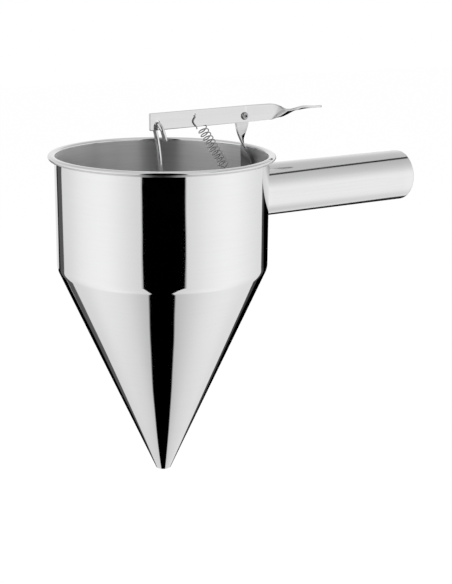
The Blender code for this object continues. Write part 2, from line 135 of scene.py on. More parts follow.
def buildHandling():
    tree, given, made = newGroup(
        "handlingMarks",
        "ShaderNodeTree",
        (("Place", "NodeSocketVector", None), ("Amount", "NodeSocketFloat", 0.5)),
        (("Smudge", "NodeSocketFloat"), ("Wave", "NodeSocketFloat")),
    )
    place = given.outputs["Place"]
    patches = remap(tree, noiseNode(tree, place, 26.0, 4.0, 0.6), 0.5, 0.72, 0.0, 1.0, True)
    grease = remap(tree, noiseNode(tree, place, 260.0, 3.0), 0.4, 0.7, 0.4, 1.0)
    smudge = mathNode(tree, "MULTIPLY", patches, grease)
    feed(tree, made.inputs["Smudge"], mathNode(tree, "MULTIPLY", smudge, given.outputs["Amount"]))
    feed(tree, made.inputs["Wave"], noiseNode(tree, place, 24.0, 1.0))
    return tree


# Painted highlight: lightens the base colour towards near-white on sharp convex edges found from Pointiness;
# Amount sets its strength.
def buildEdgeHighlight():
    tree, given, made = newGroup(
        "edgeHighlight",
        "ShaderNodeTree",
        (("Amount", "NodeSocketFloat", 0.5), ("Start", "NodeSocketFloat", 0.52)),
        (("Mask", "NodeSocketFloat"),),
    )
    point = addNode(tree, "ShaderNodeNewGeometry").outputs["Pointiness"]
    end = mathNode(tree, "ADD", given.outputs["Start"], 0.06)
    edge = remap(tree, point, given.outputs["Start"], end, 0.0, 1.0, True)
    feed(tree, made.inputs["Mask"], mathNode(tree, "MULTIPLY", edge, given.outputs["Amount"]))
    return tree


brushLines = buildBrushLines()
handlingMarks = buildHandling()
edgeHighlight = buildEdgeHighlight()

dullShare = 0.55
# Near-white colour that the painted edge highlight mixes into the base colour.
edgeHighlightColour = (0.9, 0.9, 0.9)
smudgeDulls, smudgeRoughens = 0.06, 0.09
# The finish key edge is the strength of the painted edge highlight.
plainSteel = dict(
    smudge=0.2, streak=0.1, lineDepth=0.0, waveDepth=0.00001, stretch=(1, 1, 1), edge=0.2, anisotropy=0.0,
)
finishes = {
    "mirrorSteel": dict(
        colour=(0.84, 0.84, 0.845), roughness=0.04, fineness=90.0, smudge=0.3, streak=0.02,
        waveDepth=0.00016, stretch=(1, 1, 30),
    ),
    "innerSteel": dict(
        colour=(0.82, 0.82, 0.825), roughness=0.42, fineness=110.0, lineDepth=0.0000015, waveDepth=0.0,
        stretch=(1, 1, 60), anisotropy=1.0,
    ),
    "handleSteel": dict(
        colour=(0.80, 0.80, 0.805), roughness=0.06, fineness=60.0, smudge=0.3, streak=0.04,
        lineDepth=0.0000006, waveDepth=0.00006, stretch=(1, 50, 50),
    ),
    "leverSteel": dict(
        colour=(0.73, 0.73, 0.735), roughness=0.045, fineness=70.0, smudge=0.3, streak=0.06,
        waveDepth=0.00002, stretch=(1, 40, 40), edge=0.3,
    ),
    "bracketSteel": dict(
        colour=(0.66, 0.66, 0.67), roughness=0.08, fineness=70.0, smudge=0.3, waveDepth=0.00003,
        stretch=(40, 40, 1), edge=0.3,
    ),
    "rivetSteel": dict(colour=(0.42, 0.42, 0.43), roughness=0.06, fineness=420.0, waveDepth=0.00002),
    "rodSteel": dict(
        colour=(0.74, 0.74, 0.745), roughness=0.05, fineness=90.0, streak=0.08, stretch=(30, 30, 1),
    ),
    "springSteel": dict(colour=(0.42, 0.42, 0.43), roughness=0.10, fineness=300.0, streak=0.2, edge=0.0),
    "weldSteel": dict(
        colour=(0.66, 0.65, 0.64), roughness=0.16, fineness=500.0, smudge=0.5, streak=0.3,
        lineDepth=0.000004, waveDepth=0.00002, edge=0.0,
    ),
}


def buildSteel(name, finish):
    material = bpy.data.materials.new(name)
    material.use_nodes = True
    tree = material.node_tree
    shader = tree.nodes["Principled BSDF"]
    place = addNode(tree, "ShaderNodeTexCoord").outputs["Object"]
    drawn = {"Place": place, "Stretch": finish["stretch"], "Fineness": finish["fineness"]}
    lines = wired(tree, "ShaderNodeGroup", drawn, node_tree=brushLines)
    handled = {"Place": place, "Amount": finish["smudge"]}
    marks = wired(tree, "ShaderNodeGroup", handled, node_tree=handlingMarks)
    highlighted = wired(tree, "ShaderNodeGroup", {"Amount": finish["edge"]}, node_tree=edgeHighlight)
    streak, smudge = lines.outputs["Streak"], marks.outputs["Smudge"]

    darker = mathNode(tree, "MULTIPLY", streak, finish["streak"])
    darker = mathNode(tree, "ADD", darker, mathNode(tree, "MULTIPLY", smudge, smudgeDulls))
    dull = [dullShare * part for part in finish["colour"]]
    tone = mixColours(tree, darker, (*finish["colour"], 1), (*dull, 1))
    # Painted highlight: the edge mask lightens the base colour on convex edges.
    feed(tree, shader.inputs["Base Color"], mixColours(tree, highlighted.outputs["Mask"], tone, (*edgeHighlightColour, 1)))

    rough = mathNode(tree, "MULTIPLY", smudge, smudgeRoughens)
    rough = mathNode(tree, "ADD", rough, mathNode(tree, "MULTIPLY", streak, 0.5 * finish["streak"]))
    feed(tree, shader.inputs["Roughness"], mathNode(tree, "ADD", rough, finish["roughness"]))

    normal = None
    for depth, source in (("waveDepth", marks.outputs["Wave"]), ("lineDepth", lines.outputs["Height"])):
        if finish[depth]:
            values = {"Distance": finish[depth], "Height": source, "Normal": normal}
            normal = wired(tree, "ShaderNodeBump", values).outputs["Normal"]
    feed(tree, shader.inputs["Normal"], normal)

    shader.inputs["Metallic"].default_value = 1.0
    shader.inputs["Anisotropic"].default_value = finish["anisotropy"]
    if finish["anisotropy"]:
        shader.inputs["Anisotropic Rotation"].default_value = 0.25
        around = addNode(tree, "ShaderNodeTangent", direction_type="RADIAL", axis="Z")
        feed(tree, shader.inputs["Tangent"], around.outputs["Tangent"])
    return material


steel = {name: buildSteel(name, {**plainSteel, **finish}) for name, finish in finishes.items()}
print("finishes:", len(steel))


# Geometry Nodes. One tree turns a profile about Z, one draws a wire along a path, one winds it as well.
baseRadius = 0.1
mergeDistance = 2e-6


def markNode(tree, name):
    node = wired(tree, "GeometryNodeInputNamedAttribute", {"Name": name}, data_type="FLOAT")
    return node.outputs["Attribute"]


def buildTurnTree():
    tree, given, made = newGroup(
        "turnProfile",
        "GeometryNodeTree",
        (
            ("Profile", "NodeSocketGeometry", None),
            ("Steps", "NodeSocketInt", 256),
            ("Base Radius", "NodeSocketFloat", baseRadius),
            ("Outer Finish", "NodeSocketMaterial", None),
            ("Inner Finish", "NodeSocketMaterial", None),
        ),
        (("Turned", "NodeSocketGeometry"),),
    )
    profile = wired(tree, "GeometryNodeMeshToCurve", {"Mesh": given.outputs["Profile"]})
    size = {"Resolution": given.outputs["Steps"], "Radius": given.outputs["Base Radius"]}
    circle = wired(tree, "GeometryNodeCurvePrimitiveCircle", size)
    curves = {"Curve": circle.outputs["Curve"], "Profile Curve": profile.outputs["Curve"]}
    swept = wired(tree, "GeometryNodeCurveToMesh", curves).outputs["Mesh"]
    merged = wired(tree, "GeometryNodeMergeByDistance", {"Geometry": swept, "Distance": mergeDistance})
    real = wired(tree, "GeometryNodeRealizeInstances", {"Geometry": merged.outputs["Geometry"]})
    finish = {"Geometry": real.outputs["Geometry"], "Material": given.outputs["Outer Finish"]}
    outer = wired(tree, "GeometryNodeSetMaterial", finish)
    marked = {0: markNode(tree, "inner"), 1: 0.75}
    inside = wired(tree, "FunctionNodeCompare", marked, data_type="FLOAT", operation="GREATER_THAN")
    finish = {"Geometry": outer.outputs["Geometry"], "Material": given.outputs["Inner Finish"]}
    finish["Selection"] = inside.outputs["Result"]
    inner = wired(tree, "GeometryNodeSetMaterial", finish)
    feed(tree, made.inputs["Turned"], inner.outputs["Geometry"])
    return tree


def buildWireTree(name, winds):
    inputs = [
        ("Path", "NodeSocketGeometry", None),
        ("Wire Radius", "NodeSocketFloat", 0.001),
        ("Sides", "NodeSocketInt", 16),
        ("Finish", "NodeSocketMaterial", None),
    ]
    if winds:
        inputs += [
            ("Curls", "NodeSocketFloat", 11.0),
            ("Start Turn", "NodeSocketFloat", 0.0),
            ("Coil Radius", "NodeSocketFloat", 0.003),
            ("Side", "NodeSocketVector", (0, 1, 0)),
            ("Across", "NodeSocketVector", (1, 0, 0)),
        ]
    tree, given, made = newGroup(name, "GeometryNodeTree", inputs, (("Wire", "NodeSocketGeometry"),))
    path = given.outputs["Path"]
    if winds:
        turns = mathNode(
            tree, "MULTIPLY_ADD", markNode(tree, "share"), given.outputs["Curls"], given.outputs["Start Turn"]
        )
        angle = mathNode(tree, "MULTIPLY", turns, 2 * math.pi)
        reach = mathNode(tree, "MULTIPLY", markNode(tree, "wound"), given.outputs["Coil Radius"])
        offsets = []
        for direction, operation in (("Side", "COSINE"), ("Across", "SINE")):
            length = mathNode(tree, "MULTIPLY", mathNode(tree, operation, angle), reach)
            values = {0: given.outputs[direction], "Scale": length}
            offsets.append(wired(tree, "ShaderNodeVectorMath", values, operation="SCALE").outputs["Vector"])
        values = {"Geometry": path, "Offset": vectorNode(tree, "ADD", *offsets)}
        path = wired(tree, "GeometryNodeSetPosition", values).outputs["Geometry"]
    curve = wired(tree, "GeometryNodeMeshToCurve", {"Mesh": path})
    swell = markNode(tree, "swell")
    sized = wired(tree, "GeometryNodeSetCurveRadius", {"Curve": curve.outputs["Curve"], "Radius": swell})
    size = {"Resolution": given.outputs["Sides"], "Radius": given.outputs["Wire Radius"]}
    ring = wired(tree, "GeometryNodeCurvePrimitiveCircle", size)
    curves = {"Curve": sized.outputs["Curve"], "Profile Curve": ring.outputs["Curve"], "Fill Caps": True}
    swept = wired(tree, "GeometryNodeCurveToMesh", curves)
    if "Scale" in swept.inputs:
        feed(tree, swept.inputs["Scale"], swell)
    real = wired(tree, "GeometryNodeRealizeInstances", {"Geometry": swept.outputs["Mesh"]})
    finish = {"Geometry": real.outputs["Geometry"], "Material": given.outputs["Finish"]}
    finished = wired(tree, "GeometryNodeSetMaterial", finish)
    feed(tree, made.inputs["Wire"], finished.outputs["Geometry"])
    return tree


turnTree = buildTurnTree()
wireTree = buildWireTree("wireAlongPath", False)
coilTree = buildWireTree("coilAlongPath", True)


def chainMesh(name, points, marks, closed):
    mesh = bpy.data.meshes.new(name)
    count = len(points)
    edges = [(i, (i + 1) % count) for i in range(count if closed else count - 1)]
    mesh.from_pydata([tuple(point) for point in points], edges, [])
    for label, values in marks.items():
        mesh.attributes.new(label, "FLOAT", "POINT").data.foreach_set("value", values)
    return mesh


def outward(mesh, mergeWithin=0.0):
    shape = bmesh.new()
    shape.from_mesh(mesh)
    if mergeWithin:
        bmesh.ops.remove_doubles(shape, verts=shape.verts, dist=mergeWithin)
    bmesh.ops.recalc_face_normals(shape, faces=shape.faces)
    shape.to_mesh(mesh)
    shape.free()


def shade(mesh, sharpDegrees=35):
    mesh.shade_smooth()
    mesh.set_sharp_from_angle(angle=math.radians(sharpDegrees))


def asPiece(name, mesh):
    piece = bpy.data.objects.new(name, mesh)
    bpy.context.scene.collection.objects.link(piece)
    return piece


def grow(name, baseMesh, tree, inputs, place=None, mergeWithin=0.0):
    source = asPiece(name + "Source", baseMesh)
    modifier = source.modifiers.new(tree.name, "NODES")
    modifier.node_group = tree
    for item in tree.interface.items_tree:
        if item.item_type == "SOCKET" and item.in_out == "INPUT" and item.name in inputs:
            modifier[item.identifier] = inputs[item.name]
    bpy.context.view_layer.update()
    graph = bpy.context.evaluated_depsgraph_get()
    mesh = bpy.data.meshes.new_from_object(source.evaluated_get(graph))
    bpy.data.objects.remove(source)
    bpy.data.meshes.remove(baseMesh)
    mesh.name = name
    if place:
        mesh.transform(place)
    outward(mesh, mergeWithin)
    shade(mesh)
    return asPiece(name, mesh)


def turn(name, outline, outer, inner=None, steps=256, place=None):
    points = [(radius - baseRadius, -z, 0.0) for radius, z, *_ in outline]
    marks = {"inner": [mark[0] if mark else 0.0 for _, _, *mark in outline]}
    inputs = {
        "Steps": steps, "Base Radius": baseRadius,
        "Outer Finish": steel[outer], "Inner Finish": steel[inner or outer],
    }
    return grow(name, chainMesh(name, points, marks, True), turnTree, inputs, place, mergeDistance)


def sheetOutline(middle, thickness, leftInner, rightInner):
    left, right = [], []
    for i, (radius, z) in enumerate(middle):
        before = middle[max(i - 1, 0)]
        after = middle[min(i + 1, len(middle) - 1)]
        way = Vector((after[0] - before[0], after[1] - before[1])).normalized()
        side = Vector((-way.y, way.x)) * thickness / 2
        left.append((radius + side.x, z + side.y, leftInner(z)))
        right.append((radius - side.x, z - side.y, rightInner(z)))
    return left + right[::-1]


def arcPoints(centre, radii, start, end, count):
    angles = [math.radians(start + (end - start) * i / (count - 1)) for i in range(count)]
    return [(centre[0] + radii[0] * math.cos(a), centre[1] + radii[1] * math.sin(a)) for a in angles]


def between(first, last, count):
    return [tuple(a + (b - a) * i / count for a, b in zip(first, last)) for i in range(1, count)]


# Bowl with its rolled rim, and the cone under it
bowl = dict(
    radius=0.0708, wall=0.0008, depth=0.0724, rollWidth=0.0042, rollHeight=0.0035, rollGap=0.0003,
    rollPoints=44, wallRows=10, innerTop=0.0018, steps=320,
)
cone = dict(height=0.1477, outlet=0.0053, seamRounding=0.0040, shoulder=0.0105, shoulderPoints=41, rows=16)

coneSlope = (bowl["radius"] - cone["outlet"]) / cone["height"]
coneAngle = math.atan(coneSlope)
wallAcross = bowl["wall"] / math.cos(coneAngle)
tipZ = -bowl["depth"] - cone["height"]
middleRadius = bowl["radius"] - bowl["wall"] / 2
cornerZ = -bowl["depth"] + (wallAcross - bowl["wall"]) / 2 / coneSlope
seamZ = cornerZ + math.tan(coneAngle / 2) * cone["seamRounding"]
shoulderTop = cornerZ + math.tan(coneAngle / 2) * cone["shoulder"]
seamAngle = math.asin((shoulderTop - seamZ) / cone["shoulder"])


def shoulderPoints(start, end):
    centre = (middleRadius - cone["shoulder"], shoulderTop)
    radii = (cone["shoulder"], cone["shoulder"])
    return arcPoints(centre, radii, -math.degrees(start), -math.degrees(end), cone["shoulderPoints"])


def makeBowl():
    curl = ((bowl["rollWidth"]) / 2, (bowl["rollHeight"] - bowl["wall"]) / 2)
    centre = (middleRadius + curl[0], bowl["rollHeight"] / 2)
    endShare = (bowl["radius"] + bowl["rollGap"] + bowl["wall"] / 2 - centre[0]) / curl[0]
    endAngle = -math.degrees(math.acos(max(endShare, -1)))
    roll = arcPoints(centre, curl, 180, endAngle, bowl["rollPoints"])
    shoulder = shoulderPoints(seamAngle, 0.0)
    middle = shoulder + between(shoulder[-1], roll[0], bowl["wallRows"]) + roll
    outline = sheetOutline(middle, bowl["wall"], lambda z: float(z < bowl["innerTop"]), lambda z: 0.0)
    return turn("bowlShell", outline, "mirrorSteel", "innerSteel", bowl["steps"])


def makeCone():
    shoulder = shoulderPoints(seamAngle, coneAngle)
    tip = (cone["outlet"] - wallAcross / 2, tipZ)
    middle = shoulder + between(shoulder[-1], tip, cone["rows"]) + [tip]
    outline = sheetOutline(middle, bowl["wall"], lambda z: 0.0, lambda z: 1.0)
    return turn("coneShell", outline, "mirrorSteel", "innerSteel", bowl["steps"])


bowlShell = makeBowl()
coneShell = makeCone()
print("bowl and cone done")


# Handle: tube cut to the bowl's wall, end cap, weld round the root
handle = dict(radius=0.0183, wall=0.0012, reach=0.2057, drop=0.0285, steps=160, rows=14, rootGap=0.0001)
cap = dict(thickness=0.0016, edge=0.0012, spigot=0.0030, slack=0.0001, edgePoints=12, rings=6)
weld = dict(radius=0.0010, standOff=0.0002, points=640, ripples=128, ripple=0.10, sides=12)


def rootX(y):
    return math.sqrt((bowl["radius"] + handle["rootGap"]) ** 2 - y * y)


def makeHandle():
    end = handle["reach"] - cap["thickness"]
    rings = []
    for radius, shares in (
        (handle["radius"], [i / handle["rows"] for i in range(handle["rows"] + 1)]),
        (handle["radius"] - handle["wall"], [1 - i / handle["rows"] for i in range(handle["rows"] + 1)]),
    ):
        for share in shares:
            ring = []
            for i in range(handle["steps"]):
                angle = 2 * math.pi * i / handle["steps"]
                y, z = radius * math.cos(angle), radius * math.sin(angle)
                x = rootX(y) + (end - rootX(y)) * share
                ring.append((x, y, z - handle["drop"]))
            rings.append(ring)
    mesh = bpy.data.meshes.new("handleTube")
    count = handle["steps"]
    faces = []
    for k in range(len(rings)):
        nextRing = (k + 1) % len(rings)
        for i in range(count):
            j = (i + 1) % count
            faces.append((k * count + i, k * count + j, nextRing * count + j, nextRing * count + i))
    mesh.from_pydata([point for ring in rings for point in ring], [], faces)
    mesh.materials.append(steel["handleSteel"])
    outward(mesh)
    shade(mesh)
    return asPiece("handleTube", mesh)


alongHandle = Matrix.Translation((0, 0, -handle["drop"])) @ Matrix.Rotation(math.pi / 2, 4, "Y")


def makeCap():
    end = handle["reach"]
    start = end - cap["thickness"]
    spigot = handle["radius"] - handle["wall"] - cap["slack"]
    radii = (cap["edge"], cap["edge"])
    edge = arcPoints((handle["radius"] - cap["edge"], end - cap["edge"]), radii, 90, 0, cap["edgePoints"])
    flat = [((handle["radius"] - cap["edge"]) * i / cap["rings"], end) for i in range(cap["rings"])]
    points = flat + edge + [(handle["radius"], start), (spigot, start), (spigot, start - cap["spigot"])]
    points.append((0.0, start - cap["spigot"]))
    return turn("handleCap", points, "handleSteel", steps=handle["steps"], place=alongHandle)


def makeWeld():
    reach = handle["radius"] + weld["standOff"]
    around = bowl["radius"] + weld["standOff"]
    points, swell = [], []
    for i in range(weld["points"]):
        angle = 2 * math.pi * i / weld["points"]
        y = reach * math.cos(angle)
        points.append((math.sqrt(around * around - y * y), y, reach * math.sin(angle) - handle["drop"]))
        swell.append(1 + weld["ripple"] * math.sin(weld["ripples"] * angle))
    inputs = {"Wire Radius": weld["radius"], "Sides": weld["sides"], "Finish": steel["weldSteel"]}
    return grow("handleWeldBead", chainMesh("weldPath", points, {"swell": swell}, True), wireTree, inputs)


handleTube = makeHandle()
handleCap = makeCap()
handleWeld = makeWeld()
print("handle done")


# Lever: a strip on edge, twisted into the thumb plate
strip = 0.0015
holeSides = 64
endSteps = (0.00004, 0.0001, 0.00018, 0.0003, 0.0005, 0.0008)
pivot = dict(x=0.0642, z=0.0240, belowCentre=0.0014)
lever = dict(
    width=0.0114, start=-0.0095, end=0.1291, tilt=math.radians(1.0), corner=0.0008, edge=0.0003, support=0.0004,
    slowTwist=math.radians(47.0), slowFrom=0.0700, slowTo=0.1200,
    quickTwist=math.radians(34.0), quickFrom=0.0868, quickTo=0.0970,
    dip=0.0020, dipFrom=0.0840, dipAt=0.0978, dipTo=0.1120, thumbRise=0.0005, thumbRounding=0.0055,
    stations=150, pivotHole=0.0018, rodHole=(-0.0038, 0.0230, 0.0020), springHole=(0.0244, 0.0270, 0.0010),
)


def leverMiddle(x):
    z = pivot["z"] + pivot["belowCentre"] + math.tan(lever["tilt"]) * (x - pivot["x"])
    z -= lever["dip"] * ease((x - lever["dipFrom"]) / (lever["dipAt"] - lever["dipFrom"]))
    rise = ease((x - lever["dipAt"]) / (lever["dipTo"] - lever["dipAt"]))
    z += (lever["dip"] + lever["thumbRise"]) * rise
    return Vector((x, 0, z))


def leverTurn(x):
    slow = min(max((x - lever["slowFrom"]) / (lever["slowTo"] - lever["slowFrom"]), 0.0), 1.0)
    quick = ease((x - lever["quickFrom"]) / (lever["quickTo"] - lever["quickFrom"]))
    return lever["slowTwist"] * slow + lever["quickTwist"] * quick


def leverHalfWidth(x):
    half = lever["width"] / 2
    intoCorner = lever["corner"] - (x - lever["start"])
    if intoCorner > 0:
        return half - lever["corner"] + math.sqrt(lever["corner"] ** 2 - intoCorner ** 2)
    intoTip = (x - (lever["end"] - lever["thumbRounding"])) / lever["thumbRounding"]
    if intoTip > 0:
        return half * math.sqrt(max(1 - intoTip ** 2, 0.01))
    return half


def stripSection(halfWidth, halfThick, edge):
    edge = min(edge, 0.9 * halfThick, 0.9 * halfWidth)
    support = min(lever["support"], 0.5 * (halfWidth - edge))
    points = []
    corners = ((1, 1, 0), (-1, 1, 90), (-1, -1, 180), (1, -1, 270))
    for signU, signW, first in corners:
        centre = (signU * (halfWidth - edge), signW * (halfThick - edge))
        turned = arcPoints(centre, (edge, edge), first, first + 90, 5)
        flat = (centre[0] - signU * support, signW * halfThick)
        points += turned + [flat] if signU * signW > 0 else [flat] + turned
    return points


def loftStrip(name, sections, finish, bend=None):
    rings = []
    for i, (middle, across, halfWidth, inset) in enumerate(sections):
        before = sections[max(i - 1, 0)][0]
        after = sections[min(i + 1, len(sections) - 1)][0]
        along = (after - before).normalized()
        across = (across - along * across.dot(along)).normalized()
        normal = along.cross(across)
        outline = stripSection(halfWidth - inset, strip / 2 - inset, lever["edge"])
        ring = [middle + across * u + normal * w for u, w in outline]
        rings.append([bend(point, i) if bend else point for point in ring])
    count = len(rings[0])
    faces = [tuple(range(count))]
    for k in range(len(rings) - 1):
        for i in range(count):
            j = (i + 1) % count
            faces.append((k * count + i, k * count + j, (k + 1) * count + j, (k + 1) * count + i))
    faces.append(tuple((len(rings) - 1) * count + i for i in range(count)))
    mesh = bpy.data.meshes.new(name)
    mesh.from_pydata([tuple(point) for ring in rings for point in ring], [], faces)
    mesh.materials.append(steel[finish])
    outward(mesh)
    return asPiece(name, mesh)


def pierce(piece, holes):
    for centre, axis, radius in holes:
        mesh = bpy.data.meshes.new("drill")
        shape = bmesh.new()
        round = dict(segments=holeSides, radius1=radius, radius2=radius)
        bmesh.ops.create_cone(shape, cap_ends=True, depth=4 * strip, **round)
        turned = Vector(axis).to_track_quat("Z", "Y").to_matrix().to_4x4()
        bmesh.ops.transform(shape, matrix=Matrix.Translation(centre) @ turned, verts=shape.verts)
        shape.to_mesh(mesh)
        shape.free()
        drill = asPiece("drill", mesh)
        cut = piece.modifiers.new("hole", "BOOLEAN")
        cut.object = drill
        cut.solver = "EXACT"
        bpy.context.view_layer.update()
        graph = bpy.context.evaluated_depsgraph_get()
        holed = bpy.data.meshes.new_from_object(piece.evaluated_get(graph))
        piece.modifiers.clear()
        old, piece.data = piece.data, holed
        bpy.data.meshes.remove(old)
        bpy.data.objects.remove(drill)
        bpy.data.meshes.remove(mesh)
    shade(piece.data, 30)


def endInset(distance):
    edge = lever["edge"]
    if distance >= edge:
        return 0.0
    return edge - math.sqrt(max(edge * edge - (edge - distance) ** 2, 0.0))


def makeLever():
    length = lever["end"] - lever["start"]
    stations = [lever["start"] + length * i / lever["stations"] for i in range(lever["stations"] + 1)]
    for distance in endSteps:
        stations.append(lever["start"] + distance)
        stations.append(lever["end"] - distance)
    sections = []
    for x in sorted(stations):
        turn = leverTurn(x)
        across = Vector((0, -math.sin(turn), math.cos(turn)))
        inset = endInset(min(x - lever["start"], lever["end"] - x))
        sections.append((leverMiddle(x), across, leverHalfWidth(x), inset))
    piece = loftStrip("leverStrip", sections, "leverSteel")
    sideways = (0, 1, 0)
    holes = [((pivot["x"], 0, pivot["z"]), sideways, lever["pivotHole"])]
    for x, z, radius in (lever["rodHole"], lever["springHole"]):
        holes.append(((x, 0, z), sideways, radius))
    pierce(piece, holes)
    return piece


leverStrip = makeLever()
print("lever done")


# Bracket: ear behind the lever, quarter twist, foot on the bowl's wall, tongue for the spring
bracket = dict(
    earWidth=0.0104, footWidth=0.0125, twistTop=0.0185, twistLength=0.0300, leanPower=3.0, bend=0.0025,
    tongueZ=-0.0165, tongueTipX=0.0525, tongueTipWidth=0.0080, holeInset=0.0030, holeRadius=0.0017,
    gap=0.0003, wallGap=0.0001, station=0.0005, earSteps=(0.00004, 0.00012, 0.00022),
)
washer = dict(radius=0.0036, thickness=0.0005, gap=0.0003, edge=0.00012)
earY = strip / 2 + washer["gap"] + washer["thickness"] + washer["gap"] + strip / 2


def wallCurve(y):
    inner = bowl["radius"] - bowl["wall"]
    return inner - math.sqrt(inner * inner - y * y)


def bracketSections():
    earTop = pivot["z"] + bracket["earWidth"] / 2
    footX = bowl["radius"] - bowl["wall"] - bracket["wallGap"] - strip / 2
    bendZ = bracket["tongueZ"] + bracket["bend"]
    drop = earTop - bendZ
    count = round(drop / bracket["station"])
    rows = []
    distances = [drop * i / count for i in range(count + 1)] + list(bracket["earSteps"])
    for distance in sorted(distances):
        z = earTop - distance
        share = min(max((bracket["twistTop"] - z) / bracket["twistLength"], 0.0), 1.0)
        turn = math.sin(math.pi / 2 * share)
        x = pivot["x"] + (footX - pivot["x"]) * turn ** bracket["leanPower"]
        half = (bracket["earWidth"] + (bracket["footWidth"] - bracket["earWidth"]) * turn) / 2
        if z > pivot["z"]:
            half = math.sqrt(max(half ** 2 - (z - pivot["z"]) ** 2, lever["corner"] ** 2))
        angle = turn * math.pi / 2
        across = Vector((-math.cos(angle), -math.sin(angle), 0))
        rows.append((Vector((x, earY, z)), across, half, endInset(distance), turn))
    corner = Vector((footX - bracket["bend"], earY, bendZ))
    over = Vector((0, -1, 0))
    for i in range(1, 11):
        angle = math.pi / 2 * i / 10
        point = corner + Vector((math.cos(angle), 0, -math.sin(angle))) * bracket["bend"]
        follow = ease((point.z - bracket["tongueZ"]) / bracket["bend"])
        rows.append((point, over, bracket["footWidth"] / 2, 0.0, follow))
    reach = footX - bracket["bend"] - bracket["tongueTipX"]
    count = round(reach / bracket["station"])
    for i in range(1, count + 1):
        share = i / count
        x = footX - bracket["bend"] - reach * share
        half = (bracket["footWidth"] + (bracket["tongueTipWidth"] - bracket["footWidth"]) * share) / 2
        intoTip = bracket["holeInset"] - (x - bracket["tongueTipX"])
        if intoTip > 0:
            half *= math.sqrt(max(1 - (intoTip / bracket["holeInset"]) ** 2 / 2, 0))
        inset = endInset(x - bracket["tongueTipX"])
        rows.append((Vector((x, earY * (1 - share), bracket["tongueZ"])), over, half, inset, 0.0))
    return rows


def makeBracket():
    rows = bracketSections()

    def onWall(point, i):
        return point - Vector((rows[i][4] * wallCurve(point.y), 0, 0))

    piece = loftStrip("bracketStrip", [row[:4] for row in rows], "bracketSteel", onWall)
    holeX = bracket["tongueTipX"] + bracket["holeInset"]
    holes = [
        ((pivot["x"], earY, pivot["z"]), (0, 1, 0), lever["pivotHole"]),
        ((holeX, 0, bracket["tongueZ"]), (0, 0, 1), bracket["holeRadius"]),
    ]
    pierce(piece, holes)
    return piece


rivet = dict(
    radius=0.0015, headRadius=0.0027, headHeight=0.0013, crest=0.0016, dimple=0.0008, tailRadius=0.0024,
    tailHeight=0.0010,
    gap=0.0001, steps=72, domePoints=16,
)
acrossPivot = Matrix.Translation((pivot["x"], 0, pivot["z"])) @ Matrix.Rotation(math.pi / 2, 4, "X")


def makeRivet():
    head = strip / 2 + rivet["gap"]
    tail = -(earY + strip / 2 + rivet["gap"])
    crest = rivet["crest"]
    hollow = [crest * i / rivet["domePoints"] for i in range(rivet["domePoints"])]
    crown = head + rivet["headHeight"]
    dome = [(r, crown - rivet["dimple"] * (1 + math.cos(math.pi * r / crest)) / 2) for r in hollow]
    radii = (rivet["headRadius"] - crest, rivet["headHeight"])
    dome += arcPoints((crest, head), radii, 90, 4, rivet["domePoints"])
    points = dome + [(rivet["headRadius"], head), (rivet["radius"], head), (rivet["radius"], tail)]
    points.append((rivet["tailRadius"], tail))
    low = arcPoints((0, tail), (rivet["tailRadius"], rivet["tailHeight"]), -8, -90, rivet["domePoints"])
    low[-1] = (0.0, low[-1][1])
    points += low
    return turn("pivotRivetPin", points, "rivetSteel", steps=rivet["steps"], place=acrossPivot)


def makeWasher():
    near = -(strip / 2 + washer["gap"])
    far = near - washer["thickness"]
    bore, rim, edge = lever["pivotHole"], washer["radius"], washer["edge"]
    points = [(bore, near), (rim - edge, near), (rim, near - edge)]
    points += [(rim, far + edge), (rim - edge, far), (bore, far)]
    return turn("pivotWasherRing", points, "bracketSteel", steps=rivet["steps"], place=acrossPivot)


bracketStrip = makeBracket()
pivotRivet = makeRivet()
pivotWasher = makeWasher()
print("bracket and pivot done")


# Rod with its hook, and the plug on its end
rod = dict(
    radius=0.0015, hookRadius=0.0053, lean=math.radians(16.0), frontLeg=0.0062, backLeg=0.0012,
    bendDepth=0.0520, straightFrom=0.0300, hookPoints=40, bendPoints=60, sides=28, endRound=0.0004,
)
plug = dict(
    lift=0.0056, seatHeight=0.0100, shoulder=0.0022, neckRadius=0.0034, neckHeight=0.0050, nose=0.0012,
    gap=0.0003, bore=0.0018, edge=0.0003, steps=96,
)
rodWireTop = Vector((lever["rodHole"][0], 0, lever["rodHole"][1] - (lever["rodHole"][2] - rod["radius"]) / 2))
plugTop = tipZ + plug["lift"] + plug["seatHeight"] + plug["shoulder"] + plug["neckHeight"]


def hermite(first, firstWay, last, lastWay, count):
    found = []
    for i in range(1, count + 1):
        t = i / (count + 1)
        point = first * (2 * t ** 3 - 3 * t ** 2 + 1) + firstWay * (t ** 3 - 2 * t ** 2 + t)
        found.append(point + last * (3 * t ** 2 - 2 * t ** 3) + lastWay * (t ** 3 - t ** 2))
    return found


def roundedEnds(points, wireRadius, endRound):
    length = [0.0]
    for before, after in zip(points, points[1:]):
        length.append(length[-1] + (after - before).length)
    extra = []
    for distance in [endRound * share for share in (0.06, 0.2, 0.45, 0.75, 1.0)]:
        extra.append((points[0] + (points[1] - points[0]).normalized() * distance, distance))
    tail = []
    for _, distance in reversed(extra):
        tail.append((points[-1] + (points[-2] - points[-1]).normalized() * distance, distance))
    inner = [(point, endRound) for point, at in zip(points, length) if endRound < at < length[-1] - endRound]
    full = [(points[0], 0.0)] + extra + inner + tail + [(points[-1], 0.0)]
    swell = []
    for _, distance in full:
        inset = endRound - math.sqrt(max(endRound ** 2 - (endRound - min(distance, endRound)) ** 2, 0.0))
        swell.append(1 - inset / wireRadius)
    return [point for point, _ in full], swell


